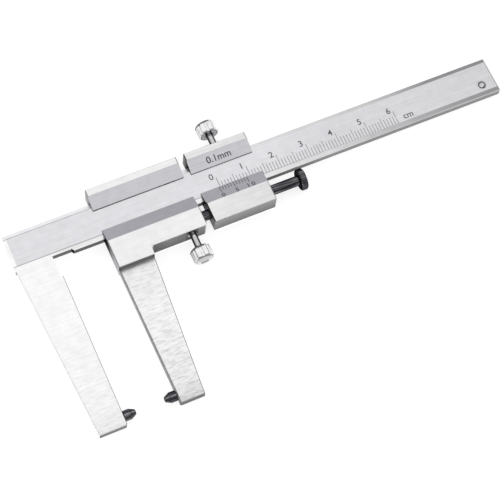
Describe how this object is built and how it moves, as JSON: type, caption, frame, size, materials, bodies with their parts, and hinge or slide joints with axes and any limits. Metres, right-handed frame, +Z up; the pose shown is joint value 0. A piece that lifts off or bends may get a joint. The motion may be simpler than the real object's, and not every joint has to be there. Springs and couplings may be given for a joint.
{
  "type": "vernier caliper gauge for brake disc thickness",
  "caption": "Steel vernier caliper for the thickness of a brake disc: long jaws with inward pointing tips, a sliding jaw, a separate lockable vernier slide and a headed stop rod.",
  "frame": {"origin": "under the centre of the gauge's box, on the surface that the gauge lies on", "axes": "+X along the beam from the fixed jaw to the free end, +Y across the beam away from the jaws' points, +Z up from the backs of the slides to the scale side"},
  "size_m": [0.1618, 0.08, 0.0069],
  "materials": {
    "beam_steel": "satin",
    "slide_steel": "fine ground, satin",
    "black_steel": "blackened steel, satin",
    "screw_chrome": "bright",
    "spring_steel": "satin"
  },
  "bodies": {
    "beam": {"main_beam": "beam_steel", "fixed_tip": "black_steel", "stop_pin": "beam_steel"},
    "jaw": {"jaw_slider": "slide_steel", "moving_tip": "black_steel", "stop_rod": "black_steel", "jaw_gib_spring": "spring_steel"},
    "vernier": {"vernier_block": "slide_steel", "vernier_gib_spring": "spring_steel"},
    "jaw_lock": {"jaw_lock_screw": "screw_chrome"},
    "vernier_lock": {"vernier_lock_screw": "screw_chrome"}
  },
  "joints": [
    {"name": "jaw_slide", "type": "slide", "parent": "beam", "child": "jaw", "axis": [1, 0, 0], "range_m": [-0.00889, 0.066]},
    {"name": "vernier_slide", "type": "slide", "parent": "jaw", "child": "vernier", "axis": [1, 0, 0], "range_m": [-0.00245, 0.00939]},
    {"name": "jaw_lock_turn", "type": "hinge", "parent": "jaw", "child": "jaw_lock", "pos_m": [-0.02788, 0.00743, 0.0035], "axis": [0, 1, 0], "range_deg": [-360, 0]},
    {"name": "vernier_lock_turn", "type": "hinge", "parent": "vernier", "child": "vernier_lock", "pos_m": [-0.01008, 0.03182, 0.0035], "axis": [0, -1, 0], "range_deg": [-360, 0]}
  ]
}
